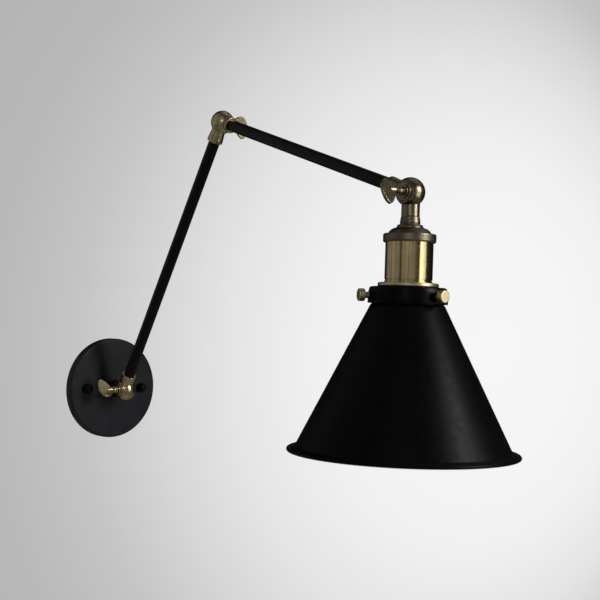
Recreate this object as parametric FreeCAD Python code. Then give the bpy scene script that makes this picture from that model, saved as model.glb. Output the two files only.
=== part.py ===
import FreeCAD, Part
import math
import os

# Two-arm adjustable wall lamp.  Millimetres, +Z up.
# Row frame: the wall is the plane y = 0 and the lamp reaches out towards -Y;
# the origin is the centre of the wall plate's back, on the wall.
# All three knuckle pivots lie along X.  An angle t is counted from straight up
# (+Z) towards the room (-Y), so a direction is (0, -sin t, cos t).

V = FreeCAD.Vector
os.makedirs("parts", exist_ok=True)

# ------------------------------------------------------------------ dimensions
PLATE_R = 51.0           # wall plate, outside radius
PLATE_D = 9.0            # wall plate, depth from the wall to its front face
PLATE_T = 1.2            # sheet thickness of the plate
PLATE_EDGE_R = 2.3       # rounded front edge
STUD_X = 32.8            # studs left and right of the centre
STUD_R = 2.0
STUD_LEN = 15.0          # stud, wall to tip
CAP_NUT_R = 4.9
CAP_NUT_H = 7.8
BAR_L, BAR_W, BAR_T = 84.0, 22.0, 1.5
BAR_HOLE_R = 8.2
SLOT_X, SLOT_R, SLOT_LEN = 20.0, 2.25, 12.0

NIPPLE_R, NIPPLE_BORE = 4.95, 3.7   # M10 lamp nipple
PLATE_HOLE_R = 5.2

BASE_OUT = 30.24         # base pivot from the wall
ARM1_T, ARM1_L = 29.0, 295.0        # lower arm, angle and pivot-to-pivot length
ARM2_T, ARM2_L = 108.8, 245.0       # upper arm
HEAD_T = 180.0           # the head hangs straight down
OFF = 1.0                # each knuckle half's neck stands this far off the split plane

TUBE_R, TUBE_BORE = 5.3, 4.3        # arm tubes
R_BASE, R_ELBOW, R_HEAD = 11.6, 10.8, 11.7      # ball radii of the three knuckles
GAP = 0.25               # half of the friction ring's thickness
CLEAR = 0.27             # the opposite neck is hollowed this far outside the ball
SPOT_IN = 2.6            # the wing screw's spot face lies this far inside the ball's radius
BOSS_R = 4.2
SCREW_R = 2.0            # wing screw shank
SCREW_BORE = 2.05        # running clearance 0.05
NECK_BORE = 3.5
STAND = 0.5              # tubes and leads stop this far outside a ball, clear of the turning half
SOCKET_BORE = TUBE_R + 0.01

# neck lengths, from the pivot centre to the neck's end
NECK_BASE_WALL = 15.2
NECK_ARM1_LOW = 17.7
NECK_ARM1_TOP = 19.9
NECK_ARM2_LOW = 13.2
NECK_ARM2_END = 21.5
NECK_HEAD = 19.2
STEM_R = 7.2

# head profile, heights h below the head pivot
CAP_TOP = 19.2           # lampholder cap sits against the knuckle's neck
COLLAR_R = 20.75
SHELL_R = 18.7
SHELL_TOP, SHELL_END = 36.4, 85.0
RING_R = 23.8
HOLDER_TOP, HOLDER_END = 74.1, 86.9
HOLDER_R = 31.2
SHADE_LIP = 76.5
CONE_TOP_H, CONE_TOP_R = 88.6, 29.2
CONE_END_H, CONE_END_R = 199.4, 84.3
RIM_H, RIM_R, BEAD_R = 202.0, 89.3, 1.5
SHADE_T = 0.9
SCREW_H = 81.2           # height of the three shade screws
KNOB_R, KNOB_T, KNOB_AT = 4.95, 4.8, 35.5

T1, T2 = math.radians(ARM1_T), math.radians(ARM2_T)
P_BASE = V(-1.0, -BASE_OUT, 0)
P_ELBOW = V(-1.0, -BASE_OUT - ARM1_L * math.sin(T1), ARM1_L * math.cos(T1))
P_HEAD = V(1.0, P_ELBOW.y - ARM2_L * math.sin(T2), P_ELBOW.z + ARM2_L * math.cos(T2))
STEM_X = 2.0             # the head's own axis


# --------------------------------------------------------------------- helpers
def one(shape):
    """the single solid of a shape, the right way out"""
    s = shape
    if s.ShapeType != "Solid":
        if len(s.Solids) != 1:
            raise ValueError("expected one solid, got %d" % len(s.Solids))
        s = s.Solids[0]
    if s.Volume < 0:
        s = s.reversed()
    return s


def wire(points, to3d):
    """closed wire; a point is (a, b) or (a, b, corner radius);
    ('via', a, b) bends the edge between its neighbours into an arc"""
    nodes, via = [], {}
    for p in points:
        if p[0] == "via":
            via[len(nodes) - 1] = (p[1], p[2])
        else:
            nodes.append((float(p[0]), float(p[1]), float(p[2]) if len(p) > 2 else 0.0))
    n = len(nodes)
    ends = []
    for i in range(n):
        a, b, rad = nodes[i]
        if rad <= 0:
            ends.append((to3d(a, b), None, to3d(a, b)))
            continue
        pa, pb = nodes[i - 1], nodes[(i + 1) % n]
        u = V(pa[0] - a, pa[1] - b, 0)
        w = V(pb[0] - a, pb[1] - b, 0)
        u.normalize()
        w.normalize()
        half = 0.5 * u.getAngle(w)
        tl = rad / math.tan(half)
        bis = u + w
        bis.normalize()
        m = bis * (rad / math.sin(half) - rad)
        s, e = u * tl, w * tl
        ends.append((to3d(a + s.x, b + s.y), to3d(a + m.x, b + m.y), to3d(a + e.x, b + e.y)))
    edges = []
    for i in range(n):
        s, m, e = ends[i]
        if m is not None:
            edges.append(Part.Arc(s, m, e).toShape())
        nxt = ends[(i + 1) % n][0]
        if i in via:
            edges.append(Part.Arc(e, to3d(*via[i]), nxt).toShape())
        elif (nxt - e).Length > 1e-6:
            edges.append(Part.LineSegment(e, nxt).toShape())
    return Part.Wire(edges)


def lathe(points, axis="z"):
    """turned piece: points are (r, z) about Z, or (x, r) about X"""
    if axis == "z":
        w = wire(points, lambda r, z: V(r, 0, z))
        d = V(0, 0, 1)
    else:
        w = wire(points, lambda x, r: V(x, r, 0))
        d = V(1, 0, 0)
    return one(Part.Face(w).revolve(V(0, 0, 0), d, 360))


def cyl(r, a, b, axis=V(0, 0, 1), at=V(0, 0, 0)):
    """cylinder along axis from distance a to distance b"""
    return Part.makeCylinder(r, b - a, at + axis * a, axis)


def box(x0, x1, y0, y1, z0, z1):
    return Part.makeBox(x1 - x0, y1 - y0, z1 - z0, V(x0, y0, z0))


def place(shape, origin, t=0.0):
    """local Z turned to the direction of angle t, local X kept along X"""
    s = shape.copy()
    p = FreeCAD.Placement(origin, FreeCAD.Rotation(V(1, 0, 0), t))
    s.Placement = p.multiply(s.Placement)
    return s


def save(name, *shapes):
    solids = []
    for s in shapes:
        solids.extend(s.Solids)
    for s in solids:
        if s.Volume <= 0 or not s.isValid():
            raise ValueError("%s: bad solid, volume %.3f valid %s" % (name, s.Volume, s.isValid()))
    out = solids[0] if len(solids) == 1 else Part.makeCompound(solids)
    out.exportStep("parts/%s.step" % name)
    print("%-28s %d solid(s) %9.1f mm3" % (name, len(solids), sum(s.Volume for s in solids)))


def try_fillet(shape, radius, pick):
    """round the picked edges, or leave them sharp if the kernel refuses"""
    edges = [e for e in shape.Edges if pick(e)]
    if not edges:
        return shape
    for k in (1.0, 0.7, 0.45):
        try:
            f = shape.makeFillet(radius * k, edges)
            if f.isValid() and len(f.Solids) == 1 and abs(f.Volume - shape.Volume) < 0.2 * abs(shape.Volume):
                g = one(f)
                if g.isValid():
                    return g
        except Exception:
            pass
    return shape


# ------------------------------------------------------------------ wall mount
# local Z of the wall pieces points away from the wall (world -Y)
OUT = 90.0
O = V(0, 0, 0)

plate = lathe([
    (PLATE_R, 0), (PLATE_R, PLATE_D, PLATE_EDGE_R), (PLATE_HOLE_R, PLATE_D),
    (PLATE_HOLE_R, PLATE_D - PLATE_T), (PLATE_R - PLATE_T, PLATE_D - PLATE_T, 0.6),
    (PLATE_R - PLATE_T, 0)])
for sx in (-1, 1):
    plate = plate.cut(cyl(STUD_R + 0.2, 0, 20, at=V(sx * STUD_X, 0, 0)))
save("wall_plate", place(one(plate), O, OUT))

bar = box(-BAR_L / 2, BAR_L / 2, -BAR_W / 2, BAR_W / 2, 0, BAR_T)
bar = one(bar.makeFillet(6.0, [e for e in bar.Edges if abs(e.BoundBox.ZLength - BAR_T) < 1e-6]))
bar = bar.cut(cyl(BAR_HOLE_R, -1, 5))
for sx in (-1, 1):
    bar = bar.cut(cyl(STUD_R + 0.01, -1, 5, at=V(sx * STUD_X, 0, 0)))
    h = SLOT_LEN / 2 - SLOT_R
    slot = box(sx * SLOT_X - h, sx * SLOT_X + h, -SLOT_R, SLOT_R, -1, 5)
    for q in (-h, h):
        slot = slot.fuse(cyl(SLOT_R, -1, 5, at=V(sx * SLOT_X + q, 0, 0)))
    bar = bar.cut(slot.removeSplitter())


def stud(sx):
    s = lathe([(0, 0), (STUD_R, 0), (STUD_R, STUD_LEN - 0.6), (STUD_R - 0.6, STUD_LEN), (0, STUD_LEN)])
    s.translate(V(sx * STUD_X, 0, 0))
    return place(s, O, OUT)


def hexagon(af, z0, z1, bore, at=V(0, 0, 0), turn=0.0):
    """hexagon nut with its corners turned down"""
    c = af / math.sqrt(3)
    pts = [V(c * math.cos(math.radians(60 * i + turn)), c * math.sin(math.radians(60 * i + turn)), z0) for i in range(7)]
    pr = Part.Face(Part.makePolygon(pts)).extrude(V(0, 0, z1 - z0))
    k = 0.36 * (c - af / 2)
    turned = lathe([(0, z0), (af / 2 + 0.1, z0), (c + 0.2, z0 + k * 1.6), (c + 0.2, z1 - k * 1.6), (af / 2 + 0.1, z1), (0, z1)])
    nut = pr.common(turned)
    if bore > 0:
        nut = nut.cut(cyl(bore, z0 - 1, z1 + 1))
    nut.translate(at)
    return one(nut)


save("mounting_studs", stud(-1), stud(1))
save("stud_locknuts", *[place(hexagon(7.0, BAR_T, BAR_T + 2.4, STUD_R, at=V(sx * STUD_X, 0, 0), turn=15), O, OUT) for sx in (-1, 1)])


def cap_nut(sx):
    """round domed nut, closed at the front, with a flat turned band"""
    z = PLATE_D
    a, b, top = CAP_NUT_R - 0.35, z + 4.0, z + CAP_NUT_H
    zc = (top ** 2 - b ** 2 - a ** 2) / (2 * (top - b))      # dome centred on the nut's axis
    rd = top - zc
    s = lathe([(STUD_R, z), (CAP_NUT_R, z, 0.4), (CAP_NUT_R, z + 3.6, 0.3), (a, b),
               ("via", rd * math.sin(0.8), zc + rd * math.cos(0.8)), (0, top), (0, z + 6.2), (STUD_R, z + 6.2)])
    s.translate(V(sx * STUD_X, 0, 0))
    return place(s, O, OUT)


save("cap_nuts", cap_nut(-1), cap_nut(1))

# earth screw on the bar, beside the left stud
earth = lathe([(0, 0.2), (1.75, 0.2), (1.75, BAR_T), (3.6, BAR_T), (3.6, BAR_T + 0.7), (3.1, BAR_T + 0.7),
               (3.1, BAR_T + 2.3, 0.5), (0, BAR_T + 2.3)])
earth = earth.cut(box(-4, 4, -0.4, 0.4, BAR_T + 1.5, BAR_T + 3))
EARTH_AT = V(-27.6, 6.6, 0)
earth.translate(EARTH_AT)
bar = bar.cut(cyl(1.76, -1, 5, at=EARTH_AT))
save("mounting_bar", place(one(bar), O, OUT))
save("earth_screw", place(one(earth), O, OUT))

# ------------------------------------------------- base swivel: nipple and nuts
NIP_IN, NIP_OUT = 2.4, BASE_OUT - R_BASE - STAND      # end behind the plate, end inside the knuckle
nip = lathe([(NIPPLE_BORE, NIP_IN), (NIPPLE_R - 0.5, NIP_IN), (NIPPLE_R, NIP_IN + 0.5), (NIPPLE_R, NIP_OUT), (NIPPLE_BORE, NIP_OUT)])
save("base_nipple", place(nip, O, OUT))
zb = PLATE_D - PLATE_T
save("base_nuts",
     place(hexagon(14.0, zb - 0.8 - 2.8, zb - 0.8, NIPPLE_R + 0.01, turn=0), O, OUT),
     place(hexagon(14.0, PLATE_D + 0.8, PLATE_D + 0.8 + 3.6, NIPPLE_R + 0.01, turn=30), O, OUT))
save("base_washers",
     place(lathe([(NIPPLE_R + 0.01, zb - 0.8), (9.0, zb - 0.8), (9.0, zb), (NIPPLE_R + 0.01, zb)]), O, OUT),
     place(lathe([(NIPPLE_R + 0.01, PLATE_D), (9.2, PLATE_D), (9.2, PLATE_D + 0.8, 0.25), (NIPPLE_R + 0.01, PLATE_D + 0.8)]), O, OUT))
save("base_lead", place(cyl(2.6, NIP_IN, NIP_OUT - 0.4), O, OUT))


# ------------------------------------------------------------------- knuckles
def neck_profile(z0, L, r0, r1, lip):
    """outside of a neck, narrow at the ball and wider at its end"""
    if lip:
        return [(0, z0), (r0, z0), (r0, 8.6), (r1 - 0.15, L - 4.2), (r1, L - 3.4), (r1, L, 0.5), (0, L)]
    return [(0, z0), (r0, z0), (r0, 8.6), (r1, L, 0.5), (0, L)]


def knuckle_half(R, side, L, r0, r1, socket_r, socket_depth, screw_side, lip=False, straight=False):
    """one half of a ball knuckle in its own frame: pivot along X, neck along +Z.
    R is the ball's radius; side +1 or -1 is the half's side of the split plane"""
    rim = [(GAP, R - 0.30), (GAP + 0.28, math.sqrt(R ** 2 - (GAP + 0.28) ** 2))]
    chamber_r, deep = R - 2.8, R - 5.2             # wire chamber inside the half
    inside = [(GAP, BOSS_R), (deep, BOSS_R), (deep, 6.2), (3.4, chamber_r), (GAP, chamber_r)]
    if screw_side:
        spot = R - SPOT_IN
        g = spot - 1.0                              # turned groove round the spot face
        q = math.sqrt(R ** 2 - g ** 2)
        q0, q1 = math.sqrt(R ** 2 - (g - 0.35) ** 2), math.sqrt(R ** 2 - (g + 0.2) ** 2)
        pts = rim + [("via", 5.2, math.sqrt(R ** 2 - 5.2 ** 2)),
                     (g - 0.35, q0), (g - 0.28, q - 0.55), (g + 0.12, q - 0.62), (g + 0.2, q1 - 0.1),
                     (spot - 0.25, math.sqrt(R ** 2 - spot ** 2) + 0.15), (spot, math.sqrt(R ** 2 - spot ** 2) - 0.3),
                     (spot, SCREW_BORE + 0.1), (GAP, SCREW_BORE + 0.1)] + inside
    else:
        a = math.radians(45)
        pts = rim + [("via", R * math.sin(a), R * math.cos(a)),
                     (R, 0), (R - 3.2, 0), (R - 3.6, SCREW_BORE), (GAP, SCREW_BORE)] + inside
    half = lathe(pts, axis="x")
    if straight:
        prof = [(0, 5.0), (r0, 5.0), (r0, L - 0.5), (r0 - 0.15, L), (0, L)]
    else:
        prof = neck_profile(5.0, L, r0, r1, lip)
    neck = lathe(prof)
    neck.translate(V(OFF, 0, 0))
    # hollow the neck where the other half's ball turns, on the far side of the split
    other = Part.makeSphere(R + CLEAR).common(box(-20, GAP, -20, 20, -20, 20))
    neck = neck.cut(other)
    # open the neck where the wire chamber is
    chamber = lathe([(-1, BOSS_R), (deep, BOSS_R), (deep, 6.2), (3.4, chamber_r), (-1, chamber_r)], axis="x")
    boss_keep = cyl(BOSS_R, -12, 12, axis=V(1, 0, 0))
    neck = neck.cut(boss_keep).cut(chamber)
    s = half.fuse(neck).removeSplitter()
    s = one(s)
    # blend between ball and neck
    def at_root(e):
        if e.Length < 3:
            return False
        m = e.valueAt(0.5 * (e.FirstParameter + e.LastParameter))
        return abs(m.Length - R) < 0.03 and m.z > 6 and m.x > GAP + 0.3
    plain = s
    for blend in (0.7, 0.5, 0.3, 0):
        s = try_fillet(plain, blend, at_root) if blend and L > 16 else plain
        bore = cyl(NECK_BORE, BOSS_R + 0.5, L + 1, at=V(OFF, 0, 0))
        sock = cyl(socket_r, L - socket_depth, L + 1, at=V(OFF, 0, 0))
        s = s.cut(bore).cut(sock)
        if len(s.Solids) > 1:
            s = max(s.Solids, key=lambda q: q.Volume)
        s = one(s)
        if side < 0:
            s = one(s.mirror(V(0, 0, 0), V(1, 0, 0)))
        if s.isValid():
            break
    return s


def friction_ring(R):
    return lathe([(-GAP, R - 2.7), (-GAP, R - 0.45), (GAP, R - 0.45), (GAP, R - 2.7)], axis="x")


WASHER_T = 1.2


def screw_washer(R, side):
    a = R - SPOT_IN
    s = lathe([(a, SCREW_BORE + 0.15), (a, 5.9), (a + WASHER_T, 5.9, 0.35), (a + WASHER_T, SCREW_BORE + 0.15)], axis="x")
    return s if side > 0 else one(s.mirror(V(0, 0, 0), V(1, 0, 0)))


def wing_screw(R, side, centre, up):
    """screw along X with a leaf-shaped finger plate: one broad round end, one narrower end
    that leans a little outwards; centre is the plate's distance from the pivot,
    up is +1 if the narrow end points along local +Z"""
    a = R - SPOT_IN + WASHER_T
    tip = -(R - 4.0)
    shank = lathe([(tip, 0), (tip, 1.5), (tip + 0.5, SCREW_R), (a, SCREW_R), (a, 3.8), (a + 1.7, 3.8, 0.4),
                   (a + 2.0, 2.7), (a + 2.9, 2.5), (a + 3.3, 3.2, 0.3), (a + 4.3, 3.2, 0.3), (a + 4.7, 2.4),
                   (centre - 7.0, 2.6), (centre - 2.5, 1.6), (centre - 1.0, 0)], axis="x")
    th = 1.35
    side_pts = [(0.0, 12.5), (2.3, 11.6), (4.6, 9.0), (6.3, 5.4), (7.15, 1.4), (6.95, -2.4), (5.5, -5.9), (3.1, -7.9)]
    outline = side_pts + [(0.0, -8.5)] + [(-q, w) for q, w in reversed(side_pts[1:])]
    lean = math.radians(9.0)
    pts = []
    for q, w in outline:
        pts.append(V(centre + q * math.cos(lean) + w * math.sin(lean), -th, up * (w * math.cos(lean) - q * math.sin(lean))))
    bs = Part.BSplineCurve()
    bs.interpolate(pts, PeriodicFlag=True)
    face = Part.Face(Part.Wire([bs.toShape()]))
    wing = one(face.extrude(V(0, 2 * th, 0)))
    wing = try_fillet(wing, 0.6, lambda ed: abs(ed.CenterOfMass.y) > th * 0.9)
    s = one(shank.fuse(wing))
    if side < 0:
        s = one(s.mirror(V(0, 0, 0), V(1, 0, 0)))
    return s


# base knuckle: smooth half on the wall nipple (+X), screw half on the lower arm (-X)
WALLWARD = -90.0
save("base_knuckle_body", place(knuckle_half(R_BASE, 1, NECK_BASE_WALL, 6.6, 7.0, NIPPLE_R + 0.01, NECK_BASE_WALL - R_BASE - STAND, False), P_BASE, WALLWARD))
save("base_knuckle_clamp", place(knuckle_half(R_BASE, -1, NECK_ARM1_LOW, 7.0, 7.25, SOCKET_BORE, NECK_ARM1_LOW - R_BASE - STAND, True), P_BASE, ARM1_T))
save("base_friction_ring", place(friction_ring(R_BASE), P_BASE))
save("base_screw_washer", place(screw_washer(R_BASE, -1), P_BASE))
save("base_wing_screw", place(wing_screw(R_BASE, -1, 23.4, 1), P_BASE, -42.0))

# elbow: smooth half on the lower arm (-X), screw half on the upper arm (+X)
save("elbow_knuckle_body", place(knuckle_half(R_ELBOW, -1, NECK_ARM1_TOP, 6.4, 7.2, SOCKET_BORE, 7.6, False, lip=True), P_ELBOW, ARM1_T + 180))
save("elbow_knuckle_clamp", place(knuckle_half(R_ELBOW, 1, NECK_ARM2_LOW, 6.9, 7.4, SOCKET_BORE, NECK_ARM2_LOW - R_ELBOW - STAND, True), P_ELBOW, ARM2_T))
save("elbow_friction_ring", place(friction_ring(R_ELBOW), P_ELBOW))
save("elbow_screw_washer", place(screw_washer(R_ELBOW, 1), P_ELBOW))
save("elbow_wing_screw", place(wing_screw(R_ELBOW, 1, 22.2, -1), P_ELBOW, -3.0))

# head knuckle: screw half on the upper arm's end (-X), smooth half on the stem (+X)
save("head_knuckle_clamp", place(knuckle_half(R_HEAD, -1, NECK_ARM2_END, 6.4, 7.2, SOCKET_BORE, 8.0, True, lip=True), P_HEAD, ARM2_T + 180))
save("head_knuckle_body", place(knuckle_half(R_HEAD, 1, NECK_HEAD, STEM_R, STEM_R, NIPPLE_R + 0.01, 6.9, False, straight=True), P_HEAD, HEAD_T))
save("head_friction_ring", place(friction_ring(R_HEAD), P_HEAD))
save("head_screw_washer", place(screw_washer(R_HEAD, -1), P_HEAD))
save("head_wing_screw", place(wing_screw(R_HEAD, -1, 26.0, -1), P_HEAD, -20.0))

# ------------------------------------------------------------------------ arms
def arm(x, start, t, a, b):
    """tube and the lead inside it; a and b are the tube's ends along the arm"""
    o = V(x, start.y, start.z)
    tube = lathe([(TUBE_BORE, a), (TUBE_R, a), (TUBE_R, b), (TUBE_BORE, b)])
    lead = cyl(2.6, a + 0.4, b + 0.4)
    return place(tube, o, t), place(lead, o, t)


tube, lead = arm(-2.0, P_BASE, ARM1_T, R_BASE + STAND, ARM1_L - NECK_ARM1_TOP + 7.6)
save("lower_arm_tube", tube)
save("lower_arm_lead", lead)
tube, lead = arm(0.0, P_ELBOW, ARM2_T, R_ELBOW + STAND, ARM2_L - NECK_ARM2_END + 8.0)
save("upper_arm_tube", tube)
save("upper_arm_lead", lead)

# ------------------------------------------------------------------------ head
# local Z points down, so z is h, the distance below the head pivot
H0 = V(STEM_X, P_HEAD.y, P_HEAD.z)


def down(s):
    return place(s, H0, HEAD_T)


# nipple that joins the knuckle's neck to the lampholder cap
save("stem_nipple", down(lathe([(3.5, 12.3), (NIPPLE_R, 12.3), (NIPPLE_R, 29.0), (3.5, 29.0)])))
save("head_lead", down(cyl(2.4, 12.5, 33.0)))

# lampholder cap: inlet ring, small flange, dome and collar, one turned shell
cap = lathe([
    (NIPPLE_R + 0.01, CAP_TOP), (7.35, CAP_TOP, 0.25), (7.5, 20.0), (8.05, 23.9, 0.3), (7.7, 24.9),
    (7.7, 25.4), (9.6, 25.5, 0.3), (10.5, 27.0, 0.4), (10.5, 27.9),
    ("via", 14.9, 29.6), (16.9, 32.1), (17.3, 32.5), (20.4, 32.7, 0.5),
    (COLLAR_R, 33.9, 0.6), (COLLAR_R, 38.1, 0.6), (20.2, 39.3), (SHELL_R + 0.01, 39.3), (SHELL_R + 0.01, 34.0),
    (15.4, 33.9), (13.8, 32.2), ("via", 12.0, 30.6), (8.6, 29.8), (NIPPLE_R + 0.01, 29.4)])
GRUB_H = 21.9
grub_dir = V(-0.6867, 0.7269, 0)      # in the cap's own frame: towards the room's left front
cap = cap.cut(cyl(1.5, 2, 12, axis=grub_dir, at=V(0, 0, GRUB_H)))
save("lampholder_cap", down(one(cap)))
grub = cyl(1.5, NIPPLE_R + 0.02, 6.6, axis=grub_dir, at=V(0, 0, GRUB_H))
slot = Part.makeBox(0.8, 4, 0.5, V(6.0, -2, -0.25))
slot.rotate(V(0, 0, 0), V(0, 0, 1), math.degrees(math.atan2(grub_dir.y, grub_dir.x)))
slot.translate(V(0, 0, GRUB_H))
save("grub_screw", down(one(grub.cut(slot))))

# lampholder shell: plain tube, thin groove near its foot, threaded end inside the shade holder
shell = lathe([
    (SHELL_R - 0.9, SHELL_TOP), (SHELL_R, SHELL_TOP, 0.2), (SHELL_R, 68.2), (SHELL_R - 0.6, 68.45), (SHELL_R - 0.6, 69.15),
    (SHELL_R, 69.4), (SHELL_R, 70.4), (SHELL_R - 0.3, 70.7), (SHELL_R - 0.3, SHELL_END - 0.4), (SHELL_R - 0.7, SHELL_END),
    (SHELL_R - 1.2, SHELL_END), (SHELL_R - 1.2, 56.0), (SHELL_R - 0.9, 55.6)])
save("lampholder_shell", down(shell))

RB = SHELL_R - 0.3 + 0.01
ring_up = lathe([(RB, 70.8), (21.6, 70.6, 0.3), (RING_R - 0.35, 70.9, 0.3), (RING_R, 71.7), (RING_R, 73.4, 0.5), (23.0, 74.1), (RB, 74.1)])
save("gallery_ring_upper", down(ring_up))
ring_lo = lathe([(RB, 75.3), (23.4, 75.3, 0.3), (23.4, 78.0, 0.5), (RB, 78.0)])
save("gallery_ring_lower", down(ring_lo))

# porcelain insert with the bulb's cavity open at the foot
ins = lathe([
    (0, 40.5), (15.6, 40.5, 1.0), (17.45, 42.5), (17.45, 84.2, 0.6), (13.91, 84.2, 0.4), (13.91, 57.4, 0.5), (0, 57.4)])
ins = ins.cut(cyl(1.9, 40, 45, at=V(8, 0, 0))).cut(cyl(1.9, 40, 45, at=V(-8, 0, 0)))
ins = ins.cut(cyl(4.2, 40, 43.5))
save("porcelain_insert", down(one(ins)))

# screw sleeve of the bulb socket: rings at the thread's pitch stand in for the helix
S0, S1 = 59.4, 82.4
PITCH, CREST_R, ROOT_R, SLEEVE_R = 3.6, 12.5, 13.3, 13.9
sleeve_in = [(CREST_R, S1)]
zz = S1 - 1.3
while zz - PITCH > S0 + 0.6:
    sleeve_in += [(CREST_R, zz), ("via", ROOT_R, zz - PITCH * 0.25), (CREST_R, zz - PITCH * 0.5)]
    zz -= PITCH
sleeve_in.append((CREST_R, S0))
save("screw_sleeve", down(lathe([(SLEEVE_R, S0), (SLEEVE_R, S1 - 0.3), (SLEEVE_R - 0.3, S1)] + sleeve_in)))

# centre contact tongue and terminal screws
cc = box(-2.6, 2.6, -8.5, 3.5, 57.4, 57.9).fuse(cyl(2.4, 57.9, 58.9)).removeSplitter()
save("centre_contact", down(one(cc)))


def terminal(sx):
    s = lathe([(0, 38.4), (2.6, 38.4, 0.3), (2.6, 40.2), (1.85, 40.3), (1.85, 44.6), (0, 44.6)])
    s = s.cut(box(-3, 3, -0.4, 0.4, 38.0, 39.2))
    s.translate(V(8.0 * sx, 0, 0))
    return one(s)


save("terminal_screws", down(terminal(-1)), down(terminal(1)))

# shade holder: black pressed cup clamped between the two gallery rings
HR, HT = HOLDER_R, 1.2
holder = lathe([
    (RB, HOLDER_TOP), (HR - 1.4, HOLDER_TOP, 1.6), (HR - 0.35, HOLDER_TOP + 4.0), (HR, HOLDER_END - 3.0), (HR, HOLDER_END, 0.4),
    (HR - HT, HOLDER_END, 0.4), (HR - HT, HOLDER_TOP + 3.4), (HR - 2.4, HOLDER_TOP + HT, 0.8), (RB, HOLDER_TOP + HT)])
SCREW_DIRS = {
    "front": V(-math.sin(math.radians(4.5)), -math.cos(math.radians(4.5)), 0),
    "left": V(-math.cos(math.radians(30)), math.sin(math.radians(30)), 0),
    "right": V(math.cos(math.radians(30)), math.sin(math.radians(30)), 0),
}
TS_R = 1.9


def to_head(d):
    """world direction to the head's own frame (local Y and Z are turned over)"""
    return V(d.x, -d.y, -d.z)


for d in SCREW_DIRS.values():
    dl = to_head(d)
    boss = cyl(3.3, HR - 2.0, HR + 0.5, axis=dl, at=V(0, 0, SCREW_H))
    boss = boss.cut(cyl(HR - HT, SCREW_H - 6, SCREW_H + 6))
    holder = holder.fuse(boss)
holder = one(holder.removeSplitter())
for d in SCREW_DIRS.values():
    holder = holder.cut(cyl(TS_R + 0.05, 20, 40, axis=to_head(d), at=V(0, 0, SCREW_H)))
save("shade_holder", down(one(holder)))

# shade: spun sheet, a lipped collar inside the holder, cone, brim and rolled bead
slope = (CONE_END_R - CONE_TOP_R) / (CONE_END_H - CONE_TOP_H)
nx, nz = 1 / math.hypot(1, slope), -slope / math.hypot(1, slope)   # outward normal of the cone
t = SHADE_T
bx, bz = RIM_R, RIM_H
shade = lathe([
    (28.9, SHADE_LIP), (29.3, SHADE_LIP + 0.5), (29.2, SHADE_LIP + 1.3), (28.2, SHADE_LIP + 1.6, 0.2), (28.2, CONE_TOP_H - 1.0, 0.3),
    (CONE_TOP_R - 0.4, CONE_TOP_H - 0.6, 0.3), (CONE_TOP_R + slope * 0.9, CONE_TOP_H + 0.9),
    (CONE_END_R, CONE_END_H, 1.6), (bx - 1.9, bz - 0.9, 0.3),
    (bx - BEAD_R * 0.77, bz - BEAD_R * 0.64), ("via", bx + BEAD_R, bz), (bx - BEAD_R * 0.5, bz + BEAD_R * 0.866),
    (bx - BEAD_R * 0.95, bz + 0.35),
    (CONE_END_R - 0.9, CONE_END_H + 0.75, 1.0), (CONE_TOP_R + slope * 0.9 - t * 1.05, CONE_TOP_H + 1.2),
    (CONE_TOP_R - 1.6, CONE_TOP_H, 0.3), (28.2 - t, CONE_TOP_H - 0.3), (28.2 - t, SHADE_LIP + 1.2), (28.2 - t, SHADE_LIP)])
save("shade", down(shade))


def thumb_screw(dworld):
    """round knurled head on a short shank, tip against the shade's collar"""
    k = KNOB_AT
    s = lathe([(28.22, 0), (28.22, 1.2), (28.8, TS_R), (HR + 0.8, TS_R), (HR + 0.8, 2.5), (k - 0.1, 2.5, 0.3), (k, 3.4),
               (k, KNOB_R, 0.5), (k + KNOB_T, KNOB_R, 0.9), (k + KNOB_T, 0)], axis="x")
    for i in range(24):
        g = box(k + 0.6, k + KNOB_T - 0.9, -0.28, 0.28, KNOB_R - 0.28, KNOB_R + 1)
        g.rotate(V(0, 0, 0), V(1, 0, 0), i * 15.0)
        s = s.cut(g)
    s = one(s)
    dl = to_head(dworld)
    s.rotate(V(0, 0, 0), V(0, 0, 1), math.degrees(math.atan2(dl.y, dl.x)))
    s.translate(V(0, 0, SCREW_H))
    return down(s)


for name, d in SCREW_DIRS.items():
    save("shade_screw_" + name, thumb_screw(d))

print("pivots", P_BASE, P_ELBOW, P_HEAD)
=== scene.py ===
"""A two-arm adjustable wall lamp: looks, light and camera. Metres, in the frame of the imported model."""

import math

import bpy
from mathutils import Matrix, Vector

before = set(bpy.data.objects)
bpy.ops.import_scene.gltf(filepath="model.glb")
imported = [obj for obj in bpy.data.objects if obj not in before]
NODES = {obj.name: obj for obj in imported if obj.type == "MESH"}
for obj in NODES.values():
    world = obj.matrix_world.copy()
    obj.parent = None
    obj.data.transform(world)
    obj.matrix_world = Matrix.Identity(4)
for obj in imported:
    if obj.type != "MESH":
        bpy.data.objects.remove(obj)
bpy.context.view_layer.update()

# the vertical axis of the head (stem, lampholder and shade) at rest
HEAD_X, HEAD_Y, HEAD_Z = 0.002, -0.405188, 0.179058


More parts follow.
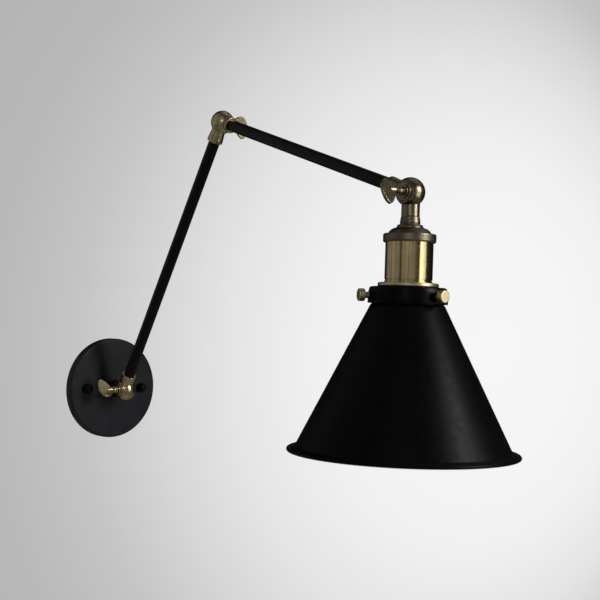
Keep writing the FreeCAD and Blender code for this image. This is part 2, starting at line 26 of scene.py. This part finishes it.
# ---------------------------------------------------------------- node helpers
class Mat:
    """A procedural material, built node by node."""

    def __init__(self, name):
        self.mat = bpy.data.materials.new(name)
        self.mat.use_nodes = True
        self.nt = self.mat.node_tree
        self.nt.nodes.clear()
        self.out = self.nt.nodes.new("ShaderNodeOutputMaterial")
        self.bsdf = self.nt.nodes.new("ShaderNodeBsdfPrincipled")
        self.nt.links.new(self.bsdf.outputs["BSDF"], self.out.inputs["Surface"])
        self.coord = self.nt.nodes.new("ShaderNodeTexCoord")

    def set(self, **values):
        for key, value in values.items():
            self.bsdf.inputs[key.replace("_", " ")].default_value = value
        return self

    def link(self, a, b):
        self.nt.links.new(a, b)

    def obj(self, scale=(1, 1, 1), move=(0, 0, 0)):
        m = self.nt.nodes.new("ShaderNodeMapping")
        m.inputs["Scale"].default_value = scale
        m.inputs["Location"].default_value = move
        self.link(self.coord.outputs["Object"], m.inputs["Vector"])
        return m.outputs["Vector"]

    def noise(self, scale, detail=3.0, rough=0.55, vector=None, distortion=0.0):
        n = self.nt.nodes.new("ShaderNodeTexNoise")
        n.inputs["Scale"].default_value = scale
        n.inputs["Detail"].default_value = detail
        n.inputs["Roughness"].default_value = rough
        n.inputs["Distortion"].default_value = distortion
        self.link(self.coord.outputs["Object"] if vector is None else vector, n.inputs["Vector"])
        return n.outputs["Fac"]

    def ramp(self, fac, stops):
        r = self.nt.nodes.new("ShaderNodeValToRGB")
        e = r.color_ramp.elements
        while len(e) < len(stops):
            e.new(0.5)
        for k, (pos, col) in enumerate(stops):
            e[k].position = pos
            e[k].color = (*col, 1.0) if len(col) == 3 else col
        self.link(fac, r.inputs["Fac"])
        return r.outputs["Color"]

    def span(self, fac, lo, hi, a=0.0, b=1.0):
        m = self.nt.nodes.new("ShaderNodeMapRange")
        m.inputs["From Min"].default_value = a
        m.inputs["From Max"].default_value = b
        m.inputs["To Min"].default_value = lo
        m.inputs["To Max"].default_value = hi
        self.link(fac, m.inputs["Value"])
        return m.outputs["Result"]

    def math(self, op, a, b=None, clamp=False):
        m = self.nt.nodes.new("ShaderNodeMath")
        m.operation = op
        m.use_clamp = clamp
        for k, v in enumerate((a, b)):
            if v is None:
                continue
            if isinstance(v, (int, float)):
                m.inputs[k].default_value = v
            else:
                self.link(v, m.inputs[k])
        return m.outputs[0]

    def vmath(self, op, a, b=None):
        m = self.nt.nodes.new("ShaderNodeVectorMath")
        m.operation = op
        for k, v in enumerate((a, b)):
            if v is None:
                continue
            if isinstance(v, (tuple, list)):
                m.inputs[k].default_value = v
            else:
                self.link(v, m.inputs[k])
        return m.outputs["Value"] if op in ("DOT_PRODUCT", "LENGTH") else m.outputs["Vector"]

    def mix(self, fac, a, b, blend="MIX"):
        m = self.nt.nodes.new("ShaderNodeMix")
        m.data_type = "RGBA"
        m.blend_type = blend
        for sock, v in ((m.inputs[0], fac), (m.inputs[6], a), (m.inputs[7], b)):
            if isinstance(v, (int, float)):
                sock.default_value = v
            elif isinstance(v, (tuple, list)):
                sock.default_value = (*v, 1.0) if len(v) == 3 else v
            else:
                self.link(v, sock)
        return m.outputs[2]

    def bump(self, height, distance, strength=1.0, under=None):
        b = self.nt.nodes.new("ShaderNodeBump")
        b.inputs["Distance"].default_value = distance
        b.inputs["Strength"].default_value = strength
        self.link(height, b.inputs["Height"])
        if under is not None:
            self.link(under, b.inputs["Normal"])
        return b.outputs["Normal"]

    def to(self, socket, value):
        self.link(value, self.bsdf.inputs[socket])
        return self


def paint(name, dark, light, rough=(0.30, 0.42), peel=0.00004, peel_scale=1500, sheen=0.5, painted_side_shade=1.0, **sockets):
    """Satin black lacquer: a little cloudy, with a fine orange-peel surface; the side factor darkens the plate's side
    wall as painted shade.
    """
    m = Mat(name)
    cloud = m.noise(45, 4, 0.6)
    col = m.ramp(cloud, [(0.30, dark), (0.72, light)])
    if painted_side_shade != 1.0:
        # painted shade: the plate's side wall, nearer the wall than its front face, is darkened by the side factor
        deep = m.nt.nodes.new("ShaderNodeSeparateXYZ")
        m.link(m.coord.outputs["Object"], deep.inputs["Vector"])
        col = m.mix(m.span(deep.outputs["Y"], 0.0, 1.0, -0.0078, -0.0066), col, m.mix(1.0, col, (painted_side_shade,) * 3, "MULTIPLY"))
    m.to("Base Color", col)
    fine = m.noise(220, 5, 0.6)
    m.to("Roughness", m.span(fine, rough[0], rough[1], 0.3, 0.7))
    m.to("Normal", m.bump(m.noise(peel_scale, 2, 0.5), peel, 0.35))
    m.set(Metallic=0.0, IOR=1.5, Specular_IOR_Level=sheen, **sockets)
    return m


def brass(name, stops, rough=(0.2, 0.36), cloud_scale=70, grain=(900, 900, 900), grain_depth=0.00002, painted_light_near_wall=1.0, streak=0.0, **sockets):
    """Brass with an uneven, aged skin over a fine polished grain.
    The near-wall factor lightens the knuckles near the wall as painted light, streak adds upright brush marks on the
    lampholder."""
    m = Mat(name)
    a = m.noise(cloud_scale, 5, 0.62, distortion=0.4)
    b = m.noise(cloud_scale * 6, 4, 0.6)
    fac = m.math("ADD", m.math("MULTIPLY", a, 0.7), m.math("MULTIPLY", b, 0.3))
    col = m.ramp(fac, stops)
    if streak:
        lines = m.noise(1.0, 4, 0.7, vector=m.obj((420, 420, 3)))
        dark = 1.0 - 0.45 * streak
        col = m.mix(1.0, col, m.ramp(lines, [(0.38, (dark, dark, dark)), (0.50, (1.0, 1.0, 1.0)), (0.66, (1.0 + 0.15 * streak,) * 3)]), "MULTIPLY")
    # painted light: brass nearer the wall (Y above about -0.34 m, fully from -0.24 m) is lightened, as if more brightly
    # lit there
    if painted_light_near_wall != 1.0:
        far = m.nt.nodes.new("ShaderNodeSeparateXYZ")
        m.link(m.coord.outputs["Object"], far.inputs["Vector"])
        col = m.mix(m.span(far.outputs["Y"], 0.0, 1.0, -0.34, -0.24), col, m.mix(1.0, col, (painted_light_near_wall * 1.02, painted_light_near_wall, painted_light_near_wall * 0.90), "MULTIPLY"))
    m.to("Base Color", col)
    g = m.noise(1.0, 3, 0.6, vector=m.obj(grain))
    m.to("Roughness", m.span(m.math("ADD", m.math("MULTIPLY", b, 0.6), m.math("MULTIPLY", g, 0.4)), rough[0], rough[1], 0.3, 0.7))
    m.to("Normal", m.bump(g, grain_depth, 0.5))
    m.set(Metallic=1.0, **sockets)
    return m


# ---------------------------------------------------------------- finishes
# the plate's side wall gets painted shade at 0.22 of its colour
plate_black = paint("plate_black", (0.0100, 0.0101, 0.0125), (0.0190, 0.0194, 0.0235), rough=(0.34, 0.44), sheen=0.13, painted_side_shade=0.22)
nut_black = paint("nut_black", (0.0008, 0.0008, 0.0010), (0.0016, 0.0016, 0.0019), rough=(0.26, 0.38), sheen=0.10)
tube_black = paint("tube_black", (0.0008, 0.0008, 0.0010), (0.0018, 0.0018, 0.0021), rough=(0.26, 0.36), sheen=0.14)
holder_black = paint("holder_black", (0.0008, 0.0008, 0.0010), (0.0016, 0.0016, 0.0019), rough=(0.26, 0.36), sheen=0.05)

# the shade is black outside and off-white enamel inside; the mask follows the sheet's own two sides
shade = Mat("shade_black")
away = shade.vmath("SUBTRACT", shade.coord.outputs["Object"], (HEAD_X, HEAD_Y, 0.0))
flat = shade.vmath("NORMALIZE", shade.vmath("MULTIPLY", away, (1.0, 1.0, 0.0)))
side = shade.vmath("DOT_PRODUCT", shade.vmath("ADD", flat, (0.0, 0.0, 1.0)), shade.coord.outputs["Normal"])
inside = shade.span(side, 1.0, 0.0, -0.06, 0.06)
outer = shade.ramp(shade.noise(30, 4, 0.6), [(0.30, (0.0010, 0.0010, 0.0012)), (0.72, (0.0022, 0.0022, 0.0024))])
enamel = shade.ramp(shade.noise(26, 4, 0.6), [(0.30, (0.70, 0.665, 0.59)), (0.75, (0.78, 0.75, 0.68))])
shade.to("Base Color", shade.mix(inside, outer, enamel))
shade.to("Roughness", shade.span(shade.noise(180, 5, 0.6), 0.33, 0.44, 0.3, 0.7))
shade.to("Normal", shade.bump(shade.noise(1300, 2, 0.5), 0.00004, 0.35))
shade.set(Metallic=0.0, IOR=1.5, Specular_IOR_Level=0.05)

# the knuckles near the wall get painted light, lightened about twofold
antique_brass = brass("antique_brass", [(0.30, (0.115, 0.096, 0.060)), (0.52, (0.185, 0.156, 0.100)), (0.75, (0.30, 0.255, 0.165))],
                      rough=(0.20, 0.30), painted_light_near_wall=2.1)
cap_brass = brass("cap_brass", [(0.28, (0.095, 0.081, 0.060)), (0.55, (0.130, 0.111, 0.081)), (0.78, (0.170, 0.146, 0.106))],
                  rough=(0.32, 0.42), streak=0.35)
shell_brass = brass("shell_brass", [(0.28, (0.38, 0.305, 0.150)), (0.55, (0.50, 0.405, 0.21)), (0.78, (0.62, 0.51, 0.28))],
                    rough=(0.12, 0.18), cloud_scale=40, grain=(1400, 1400, 60), grain_depth=0.00002, streak=1.0)
screw_brass = brass("screw_brass", [(0.28, (0.38, 0.300, 0.170)), (0.55, (0.50, 0.400, 0.240)), (0.78, (0.60, 0.490, 0.310))],
                    rough=(0.32, 0.42))
socket_brass = brass("socket_brass", [(0.28, (0.55, 0.40, 0.19)), (0.75, (0.72, 0.56, 0.30))], rough=(0.18, 0.28))
zinc_steel = brass("zinc_steel", [(0.28, (0.42, 0.43, 0.45)), (0.55, (0.55, 0.56, 0.58)), (0.78, (0.68, 0.68, 0.69))],
                   rough=(0.28, 0.42), cloud_scale=160)

fibre = Mat("fibre")
fibre.to("Base Color", fibre.ramp(fibre.noise(900, 4, 0.7), [(0.3, (0.055, 0.020, 0.012)), (0.7, (0.12, 0.045, 0.026))]))
fibre.to("Roughness", fibre.span(fibre.noise(500, 3), 0.6, 0.8, 0.3, 0.7))
fibre.set(Metallic=0.0)

lead_sheath = Mat("lead_sheath")
lead_sheath.to("Base Color", lead_sheath.ramp(lead_sheath.noise(300, 3), [(0.3, (0.62, 0.60, 0.55)), (0.7, (0.70, 0.68, 0.63))]))
lead_sheath.to("Roughness", lead_sheath.span(lead_sheath.noise(500, 3), 0.42, 0.55, 0.3, 0.7))
lead_sheath.set(Metallic=0.0)

porcelain = Mat("porcelain")
porcelain.to("Base Color", porcelain.ramp(porcelain.noise(60, 4), [(0.3, (0.74, 0.72, 0.67)), (0.7, (0.82, 0.80, 0.76))]))
porcelain.to("Roughness", porcelain.span(porcelain.noise(140, 4), 0.16, 0.28, 0.3, 0.7))
porcelain.to("Normal", porcelain.bump(porcelain.noise(400, 2), 0.00005, 0.3))
porcelain.set(Metallic=0.0, IOR=1.5)

FINISH = {
    "plate_black": plate_black, "nut_black": nut_black, "tube_black": tube_black, "holder_black": holder_black,
    "shade_black": shade, "antique_brass": antique_brass, "cap_brass": cap_brass, "shell_brass": shell_brass,
    "screw_brass": screw_brass, "socket_brass": socket_brass, "zinc_steel": zinc_steel, "fibre": fibre,
    "lead_sheath": lead_sheath, "porcelain": porcelain,
}
for o in NODES.values():
    for k in o.material_slots:
        k.material = FINISH[k.material.name.split(".")[0]].mat

# ---------------------------------------------------------------- wall and floor (not part of the lamp)
def sheet_of(name, corners, mat):
    me = bpy.data.meshes.new(name)
    me.from_pydata([Vector(c) for c in corners], [], [tuple(range(len(corners)))])
    o = bpy.data.objects.new(name, me)
    bpy.context.scene.collection.objects.link(o)
    me.materials.append(mat)
    return o


def stage_paint(name, tone, one_sided):
    m = Mat(name)
    m.to("Base Color", m.ramp(m.noise(3.0, 3), [(0.3, tuple(t * 0.985 for t in tone)), (0.7, tone)]))
    m.set(Roughness=0.85, Metallic=0.0, IOR=1.4)
    if one_sided:
        geo = m.nt.nodes.new("ShaderNodeNewGeometry")
        clear = m.nt.nodes.new("ShaderNodeBsdfTransparent")
        mix = m.nt.nodes.new("ShaderNodeMixShader")
        m.link(geo.outputs["Backfacing"], mix.inputs[0])
        m.link(m.bsdf.outputs["BSDF"], mix.inputs[1])
        m.link(clear.outputs["BSDF"], mix.inputs[2])
        m.link(mix.outputs[0], m.out.inputs["Surface"])
    return m.mat


WALL_Y, FLOOR_Z = 0.0006, -1.45


def linear(v):
    return ((v + 0.055) / 1.055) ** 2.4


def glowing_wall():
    """A self-lit wall with a painted pool of light: its glow is brightest on the right of the lamp, falling off softly
    all round, and it takes no shadow.
    """
    m = Mat("stage_wall_painted_glow")
    rel = m.vmath("SUBTRACT", m.coord.outputs["Object"], (0.66, 0.0, 0.045))
    far = m.vmath("LENGTH", m.vmath("MULTIPLY", rel, (1.0, 0.0, 1.25)))
    # painted light: the emitted tone falls off with distance from a point to the right of the lamp
    painted_glow_falloff = [(0.0, 0.966), (0.20, 0.960), (0.36, 0.942), (0.50, 0.895), (0.60, 0.840), (0.70, 0.770), (0.80, 0.722), (1.0, 0.690)]
    tone = m.ramp(far, [(d, (linear(v), linear(v), linear(v * 0.999))) for d, v in painted_glow_falloff])
    glow = m.nt.nodes.new("ShaderNodeEmission")
    m.link(tone, glow.inputs["Color"])
    geo = m.nt.nodes.new("ShaderNodeNewGeometry")
    clear = m.nt.nodes.new("ShaderNodeBsdfTransparent")
    mix = m.nt.nodes.new("ShaderNodeMixShader")
    m.link(geo.outputs["Backfacing"], mix.inputs[0])
    m.link(glow.outputs["Emission"], mix.inputs[1])
    m.link(clear.outputs["BSDF"], mix.inputs[2])
    m.link(mix.outputs[0], m.out.inputs["Surface"])
    m.nt.nodes.remove(m.bsdf)
    return m.mat


wall = sheet_of("stage_wall", [(-3.2, WALL_Y, FLOOR_Z), (3.2, WALL_Y, FLOOR_Z), (3.2, WALL_Y, 2.2), (-3.2, WALL_Y, 2.2)], glowing_wall())
floor = sheet_of("stage_floor", [(-4, -5, FLOOR_Z), (4, -5, FLOOR_Z), (4, 3, FLOOR_Z), (-4, 3, FLOOR_Z)],
                 stage_paint("stage_floor_paint", (0.74, 0.74, 0.73), False))

wall.visible_glossy = False        # polished metal mirrors the dark studio, not the paper behind the lamp

# ---------------------------------------------------------------- light
def area(name, at, look, size, power, tint=(1, 1, 1), spread=180.0):
    d = bpy.data.lights.new(name, "AREA")
    d.shape = "RECTANGLE"
    d.size, d.size_y = size
    d.energy = power
    d.color = tint
    d.spread = math.radians(spread)
    o = bpy.data.objects.new(name, d)
    o.location = at
    o.rotation_mode = "QUATERNION"
    o.rotation_quaternion = (Vector(look) - Vector(at)).to_track_quat("-Z", "Y")
    bpy.context.scene.collection.objects.link(o)
    return o


area("key", (0.36, -1.16, 0.48), (0.0, -0.25, 0.10), (0.34, 0.34), 6.2, (1.0, 0.99, 0.975))
area("strip", (0.285, -1.14, 0.08), (0.0, -0.40, 0.12), (0.46, 0.60), 2.7, (1.0, 0.985, 0.96))
area("front", (-0.78, -0.95, 0.42), (0.0, -0.25, 0.15), (0.22, 0.22), 0.8, (1.0, 0.99, 0.98))

# the studio round the lamp: soft grey on the left and in front with two dark stands, dark above and on the far right
world = bpy.data.worlds.new("room")
bpy.context.scene.world = world
world.use_nodes = True
wt = world.node_tree
aim = wt.nodes.new("ShaderNodeTexCoord").outputs["Generated"]


def along(direction):
    d = wt.nodes.new("ShaderNodeVectorMath")
    d.operation = "DOT_PRODUCT"
    d.inputs[1].default_value = direction
    wt.links.new(aim, d.inputs[0])
    return d.outputs["Value"]


def soft(value, a, b, lo, hi):
    r = wt.nodes.new("ShaderNodeMapRange")
    r.interpolation_type = "SMOOTHSTEP"
    for key, v in (("From Min", a), ("From Max", b), ("To Min", lo), ("To Max", hi)):
        r.inputs[key].default_value = v
    wt.links.new(value, r.inputs["Value"])
    return r.outputs["Result"]


def calc(op, a, b=None):
    c = wt.nodes.new("ShaderNodeMath")
    c.operation = op
    for k, v in enumerate((a, b)):
        if isinstance(v, (int, float)):
            c.inputs[k].default_value = v
        elif v is not None:
            wt.links.new(v, c.inputs[k])
    return c.outputs[0]


level = soft(along((-0.93, 0.10, -0.12)), -0.12, 0.48, 0.02, 0.36)
stand_a = soft(calc("ABSOLUTE", along((0.02, -1.0, 0.0))), 0.04, 0.15, 0.12, 1.0)
stand_b = soft(calc("ABSOLUTE", along((0.82, -0.572, 0.0))), 0.02, 0.09, 0.60, 1.0)
level = calc("MULTIPLY", level, calc("MULTIPLY", stand_a, stand_b))
level = calc("ADD", level, soft(along((0.45, -0.05, 0.89)), 0.78, 0.98, 0.0, 0.42))
wt.nodes["Background"].inputs["Color"].default_value = (1.0, 1.0, 1.0, 1.0)
wt.links.new(level, wt.nodes["Background"].inputs["Strength"])

# ---------------------------------------------------------------- camera
RIGHT = Vector((0.7269, -0.6859, 0.0332)).normalized()
UP = Vector((-0.0360, 0.0102, 0.9993))
UP = (UP - RIGHT * UP.dot(RIGHT)).normalized()
BACK = RIGHT.cross(UP)
cam = bpy.data.cameras.new("camera")
cam.lens, cam.sensor_width = 66.8, 36.0
cam.clip_start, cam.clip_end = 0.02, 40.0
eye = bpy.data.objects.new("camera", cam)
bpy.context.scene.collection.objects.link(eye)
eye.matrix_world = Matrix.Translation((-0.65285, -0.97785, 0.07738)) @ Matrix((RIGHT, UP, BACK)).transposed().to_4x4()
bpy.context.scene.camera = eye
bpy.context.scene.view_settings.view_transform = "Standard"
bpy.context.scene.view_settings.look = "None"
